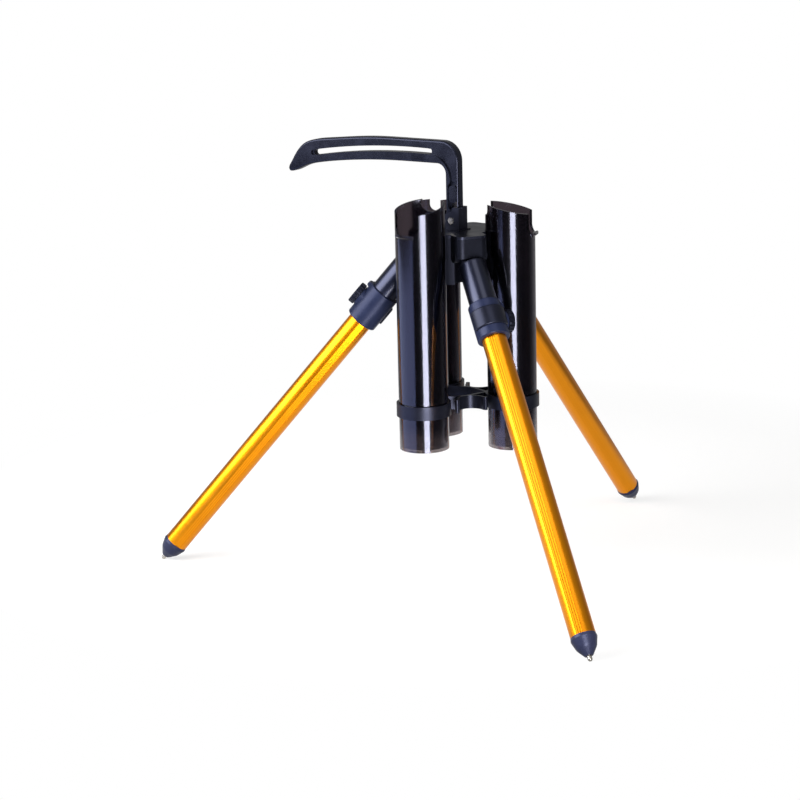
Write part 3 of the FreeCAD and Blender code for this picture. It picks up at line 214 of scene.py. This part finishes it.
def groove_shade_along(point, direction, shade_colour):
    """Painted groove shade for a tube whose axis runs through this point in this direction."""
    def draw(tree, place, colour):
        arm = add(tree, "ShaderNodeVectorMath", {"operation": "SUBTRACT"}, i0=place, i1=point)
        off = add(tree, "ShaderNodeVectorMath", {"operation": "CROSS_PRODUCT"}, i0=arm.outputs[0],
                  i1=direction)
        out = add(tree, "ShaderNodeVectorMath", {"operation": "LENGTH"}, i0=off.outputs[0])
        square = add(tree, "ShaderNodeMath", {"operation": "MULTIPLY_ADD"}, i0=out.outputs["Value"],
                     i1=out.outputs["Value"], i2=-GROOVE_FLOOR ** 2)
        across = add(tree, "ShaderNodeMath", {"operation": "SQRT"}, i0=square.outputs[0])
        turn = add(tree, "ShaderNodeMath", {"operation": "MULTIPLY"}, i0=across.outputs[0],
                   i1=2 * math.pi / LINE_PITCH)
        ridge = add(tree, "ShaderNodeMath", {"operation": "COSINE"}, i0=turn.outputs[0])
        between = add(tree, "ShaderNodeMapRange", Value=ridge.outputs[0], i1=LINE_CORE, i2=LINE_EDGE)
        return add(tree, "ShaderNodeMix", {"data_type": "RGBA"}, i0=between.outputs["Result"],
                   i6=linear(shade_colour), i7=colour).outputs[2]
    return draw


print("lines", round(LINE_PITCH / MM, 2), "mm apart on each groove's floor")

# %% [markdown]
# A leg's axis runs through its hinge pin and leans out from the upright by the leg's spread. In this
# light the groove flanks show as dark lines only on the front tube, so the painted shade is dark there,
# and on the other two it is nearly the gold's own colour.

# %% Gold anodised tubes
LEG_SPREAD = math.radians(40.34)
# How dark each leg's painted groove shade is: dark only where the light shows the flanks.
GROOVE_SHADE_COLOURS = {"left": "#CC7C04", "front": "#7A3A00", "rear": "#CC7C04"}

gold_tubes = {}
for leg, shade_colour in GROOVE_SHADE_COLOURS.items():
    corners = [Vector(corner) for corner in nodes[leg + "_leg_hinge_pin"].bound_box]
    hinge = sum(corners, Vector()) / len(corners)
    outwards = Vector((hinge.x, hinge.y, 0)).normalized()
    along = outwards * math.sin(LEG_SPREAD) - Vector((0, 0, math.cos(LEG_SPREAD)))
    gold_tubes[leg + "_lower_tube"] = metal(
        "gold_anodised_" + leg, "#E28A04", "#EC9408", 0.33, 30, oxide=0.12,
        painted_groove_shade=groove_shade_along(tuple(hinge), tuple(along), shade_colour))
print("made the gold of", sorted(gold_tubes))

# %% [markdown]
# The rod tubes are extruded polycarbonate tinted with smoke dye. Light passes, but each wall swallows
# most of it, so the tubes look nearly black where two of them or the hub stand behind. Below the
# rings the light comes in from all sides, and a paler colour painted towards the foot stands for that
# light: painted light. The outside is nearly as smooth as glass and shows the lamps as long upright
# streaks.

# %% Smoke polycarbonate
POLYCARBONATE_IOR = 1.58
SMOKE_CLOUD_MM = 30
PALE_BELOW, DARK_ABOVE = 138 * MM, 168 * MM

smoke, tree = new_material("smoke_polycarbonate")
place = add(tree, "ShaderNodeTexCoord").outputs["Object"]
haze = add(tree, "ShaderNodeTexNoise", Vector=place, Scale=per(SMOKE_CLOUD_MM), Detail=2.0, Roughness=0.5)
haze_colour = add(tree, "ShaderNodeMix", {"data_type": "RGBA"}, i0=haze.outputs["Fac"],
                  i6=linear("#362F35"), i7=linear("#3E363B"))
height = add(tree, "ShaderNodeSeparateXYZ", Vector=place).outputs["Z"]
# Painted light: the colour turns paler below the rings, where light comes in from all sides.
foot = add(tree, "ShaderNodeMapRange", Value=height, i1=PALE_BELOW, i2=DARK_ABOVE, i3=1.0, i4=0.0)
dye_and_painted_light = add(tree, "ShaderNodeMix", {"data_type": "RGBA"}, i0=foot.outputs["Result"],
          i6=haze_colour.outputs[2], i7=linear("#8A8080"))
haze_rough = add(tree, "ShaderNodeMapRange", Value=haze.outputs["Fac"], i1=NOISE_LOW, i2=NOISE_HIGH,
                 i3=0.13, i4=0.16)
wall = add(tree, "ShaderNodeBsdfPrincipled", Base_Color=dye_and_painted_light.outputs[2],
           Roughness=haze_rough.outputs["Result"], Transmission_Weight=1.0, IOR=POLYCARBONATE_IOR,
           Specular_Tint=linear("#D8DDFF"))
add(tree, "ShaderNodeOutputMaterial", Surface=wall.outputs["BSDF"])
print("made", smoke.name, "with an IOR of", POLYCARBONATE_IOR)

# %% [markdown]
# Each measured piece now gets its finish. The name of a piece says what it is, so a short table of
# name endings is enough. The first ending that fits wins, and what is left is plain satin nylon.

# %% Finish of each measured piece
FINISHES = (
    ("rod_tube", smoke), *gold_tubes.items(), ("upper_tube", dark_tube), ("foot_spike", zinc),
    ("hinge_pin", black_steel), ("pin", zinc), ("screw", zinc), ("screws", black_steel),
    ("clamp_pad", pad_nylon), ("handle_arm", handle_nylon), ("lock_slider", handle_nylon),
    ("collar", collar_nylon), ("foot_cone", foot_nylon), ("hub_body", hub_shade_nylon), ("", nylon),
)
for name, piece in nodes.items():
    finish = next(material for ending, material in FINISHES if name.endswith(ending))
    piece.data.materials.clear()
    piece.data.materials.append(finish)
print("finished", len(nodes), "pieces")


# %% [markdown]
# The stand is on a white sheet in front of a white backdrop, and the rest of the studio is dim. More
# light could make them white, but it would bleach the stand too. So the camera, and what is seen
# through the clear plastic, gets plain white, and only about a third of that lights the stand. A
# shiny piece mirrors the backdrop behind it and a pale ceiling, and a dim room towards the camera,
# which keeps dark plastic dark.

# %% White backdrop
ROOM_LIGHT = 0.38
ROOM_IN_MIRRORS = 0.04
BACKDROP_IN_MIRRORS = 0.34
BACKDROP_FROM, BACKDROP_TO = 0.15, 0.8
CEILING_IN_MIRRORS = 0.34
CEILING_FROM, CEILING_TO = 0.15, 0.6


def rays_and_clear_view(tree):
    """The kinds of ray, and a value of 1 for those that reach the eye straight or through plastic."""
    rays = add(tree, "ShaderNodeLightPath").outputs
    clear_view = add(tree, "ShaderNodeMath", {"operation": "MAXIMUM"}, i0=rays["Is Camera Ray"],
                     i1=rays["Is Transmission Ray"])
    return rays, clear_view.outputs[0]


world = bpy.data.worlds.new("white_backdrop")
scene.world = world
world.use_nodes = True
tree = world.node_tree
tree.nodes.clear()
rays, clear_view = rays_and_clear_view(tree)
direction = add(tree, "ShaderNodeTexCoord").outputs["Generated"]
axes = add(tree, "ShaderNodeSeparateXYZ", Vector=direction).outputs
behind = add(tree, "ShaderNodeMapRange", Value=axes["Y"], i1=BACKDROP_FROM, i2=BACKDROP_TO,
             i3=ROOM_IN_MIRRORS, i4=BACKDROP_IN_MIRRORS)
above = add(tree, "ShaderNodeMapRange", Value=axes["Z"], i1=CEILING_FROM, i2=CEILING_TO,
            i3=ROOM_IN_MIRRORS, i4=CEILING_IN_MIRRORS)
mirrored = add(tree, "ShaderNodeMath", {"operation": "MAXIMUM"}, i0=behind.outputs["Result"],
               i1=above.outputs["Result"])
light = add(tree, "ShaderNodeMix", i0=rays["Is Glossy Ray"], i2=ROOM_LIGHT, i3=mirrored.outputs[0])
level = add(tree, "ShaderNodeMath", {"operation": "MAXIMUM"}, i0=clear_view, i1=light.outputs[0])
sky = add(tree, "ShaderNodeBackground", Color=(1, 1, 1, 1), Strength=level.outputs[0])
add(tree, "ShaderNodeOutputWorld", Surface=sky.outputs["Background"])
print("room light", ROOM_LIGHT, "and backdrop in mirrors", BACKDROP_IN_MIRRORS)

# %% [markdown]
# The sheet is a round of white paper on the table. It is set back a little, so that it ends close in
# front of the stand and the tubes can mirror the low lamps down to their feet.

# %% Sheet on the table
SHEET_RADIUS = 0.64
SHEET_BACK = 0.26
SHEET_CORNERS = 96

floor_mesh = bmesh.new()
bmesh.ops.create_circle(floor_mesh, cap_ends=True, segments=SHEET_CORNERS, radius=SHEET_RADIUS)
bmesh.ops.translate(floor_mesh, verts=floor_mesh.verts, vec=(0, SHEET_BACK, 0))
floor_data = bpy.data.meshes.new("floor")
floor_mesh.to_mesh(floor_data)
floor_mesh.free()
floor = bpy.data.objects.new("floor", floor_data)
scene.collection.objects.link(floor)
print("sheet radius", SHEET_RADIUS, "m")

# %% [markdown]
# To the eye the sheet gets most of its white from a faint glow of its own, and the rest from the
# lamps. The lamps' part goes missing under the stand, which leaves a soft shadow. Towards its rim the
# sheet turns into the backdrop's plain white, so no edge shows. In a mirror it is half bright at the
# back and dim at the front edge.

# %% White paper
SHEET_GLOW = 0.68
SHEET_WHITE = 0.36
FIBRE_MM = 3
FIBRE_DEPTH = 0.97
FADE_FROM, FADE_TO = SHEET_RADIUS * 0.7, SHEET_RADIUS * 0.97
SHEET_IN_MIRRORS = 0.5
DIM_BEFORE, PALE_BEHIND = -0.38, -0.2

paper, tree = new_material("white_paper_sheet")
rays, clear_view = rays_and_clear_view(tree)
place = add(tree, "ShaderNodeTexCoord").outputs["Object"]
reach = add(tree, "ShaderNodeVectorMath", {"operation": "DISTANCE"}, i0=place, i1=(0, SHEET_BACK, 0))
fade = add(tree, "ShaderNodeMapRange", Value=reach.outputs["Value"], i1=FADE_FROM, i2=FADE_TO)
glow = add(tree, "ShaderNodeMapRange", Value=fade.outputs["Result"], i3=SHEET_GLOW, i4=1.0)
glow = add(tree, "ShaderNodeMath", {"operation": "MULTIPLY"}, i0=glow.outputs["Result"], i1=clear_view)
depth = add(tree, "ShaderNodeSeparateXYZ", Vector=place).outputs["Y"]
mirrored = add(tree, "ShaderNodeMapRange", Value=depth, i1=DIM_BEFORE, i2=PALE_BEHIND,
               i3=ROOM_IN_MIRRORS, i4=SHEET_IN_MIRRORS)
mirrored = add(tree, "ShaderNodeMath", {"operation": "MULTIPLY"}, i0=mirrored.outputs["Result"],
               i1=rays["Is Glossy Ray"])
strength = add(tree, "ShaderNodeMath", {"operation": "MAXIMUM"}, i0=glow.outputs[0],
               i1=mirrored.outputs[0])
shine = add(tree, "ShaderNodeEmission", Color=(1, 1, 1, 1), Strength=strength.outputs[0])
fibre = add(tree, "ShaderNodeTexNoise", Vector=place, Scale=per(FIBRE_MM), Detail=2.0)
dull = add(tree, "ShaderNodeMapRange", Value=fade.outputs["Result"], i3=SHEET_WHITE, i4=0.0)
grain = add(tree, "ShaderNodeMapRange", Value=fibre.outputs["Fac"], i3=FIBRE_DEPTH, i4=1.0)
dull = add(tree, "ShaderNodeMath", {"operation": "MULTIPLY"}, i0=dull.outputs["Result"],
           i1=grain.outputs["Result"]).outputs[0]
white = add(tree, "ShaderNodeCombineColor", Red=dull, Green=dull, Blue=dull)
matt = add(tree, "ShaderNodeBsdfDiffuse", Color=white.outputs["Color"])
sheet = add(tree, "ShaderNodeAddShader", i0=shine.outputs["Emission"], i1=matt.outputs["BSDF"])
add(tree, "ShaderNodeOutputMaterial", Surface=sheet.outputs["Shader"])
floor_data.materials.append(paper)
print("sheet glow", SHEET_GLOW)


# %% [markdown]
# Four lamps with cloth fronts stand round the table. An upright tube mirrors towards the camera only
# what is as far below the horizon as the camera looks down, so two of the lamps reach below the table's
# edge. The broad one on the left puts the blue-grey band on each smoke tube, and the narrow one beside
# the camera draws the thin white streak. The high one at the left brightens the leaning legs, the
# collars and the handle, and a weak one overhead lifts the hub and the shadows.

# %% Lamps
AIM_HEIGHT = 0.3


def soft_box(name, azimuth, distance, centre_height, width, height, power, colour):
    """An area lamp at an angle round the stand, counted from +X, that faces the stand."""
    lamp = bpy.data.lights.new(name, "AREA")
    lamp.shape = "RECTANGLE"
    lamp.size = width
    lamp.size_y = height
    lamp.energy = power
    lamp.color = linear(colour)[:3]
    holder = bpy.data.objects.new(name, lamp)
    scene.collection.objects.link(holder)
    angle = math.radians(azimuth)
    holder.location = (math.cos(angle) * distance, math.sin(angle) * distance, centre_height)
    towards = Vector((0, 0, min(centre_height, AIM_HEIGHT))) - holder.location
    holder.rotation_euler = towards.to_track_quat("-Z", "Y").to_euler()
    holder.visible_camera = False
    holder.visible_transmission = False


for name, azimuth, distance, centre_height, width, height, power, colour in (
        ("left_box", 200, 1.3, -0.2, 2.3, 0.58, 8.6, "#C9D4FF"),
        ("strip_box", 290, 1.5, -0.1, 0.62, 1.2, 52, "#FFFBF2"),
        ("key_box", 209, 1.3, 0.88, 1.3, 1.05, 36, "#FFFFFF"),
        ("top_box", 300, 0.9, 1.9, 1.0, 0.8, 6, "#FFFFFF")):
    soft_box(name, azimuth, distance, centre_height, width, height, power, colour)
    print(name, "gives", power, "W from", azimuth, "degrees")

# %% [markdown]
# The camera stands where the photographer stood: a long lens, a little above the stand and
# a little to its right. Its place was worked out from the outlines of tubes, rings and feet.
# The lens is counted in the picture's own pixels, and a small shift frames the stand as in the photo.

# %% Camera
CAMERA_AZIMUTH = math.radians(8.41)
CAMERA_DISTANCE = 2449.97 * MM
CAMERA_HEIGHT = 767.3 * MM
CAMERA_PITCH = math.radians(13.56)
CAMERA_YAW = math.radians(1.29)
CAMERA_ROLL = math.radians(-1.33)
FOCAL_PIXELS = 2465.17
SHIFT_PIXELS = (-4.3, 3.34)
IMAGE_PIXELS = 800
SENSOR = 36
FARTHEST = 50

camera_data = bpy.data.cameras.new("camera")
camera_data.sensor_width = SENSOR
camera_data.lens = FOCAL_PIXELS * SENSOR / IMAGE_PIXELS
camera_data.shift_x = SHIFT_PIXELS[0] / IMAGE_PIXELS
camera_data.shift_y = SHIFT_PIXELS[1] / IMAGE_PIXELS
camera_data.clip_end = FARTHEST
camera = bpy.data.objects.new("camera", camera_data)
scene.collection.objects.link(camera)
place = Matrix.Translation((math.sin(CAMERA_AZIMUTH) * CAMERA_DISTANCE,
                            -math.cos(CAMERA_AZIMUTH) * CAMERA_DISTANCE, CAMERA_HEIGHT))
heading = Matrix.Rotation(CAMERA_AZIMUTH + CAMERA_YAW, 4, "Z")
tilt = Matrix.Rotation(math.radians(90) - CAMERA_PITCH, 4, "X")
roll = Matrix.Rotation(CAMERA_ROLL, 4, "Z")
camera.matrix_world = place @ heading @ tilt @ roll
scene.camera = camera
print("camera lens", round(camera_data.lens, 1), "mm")
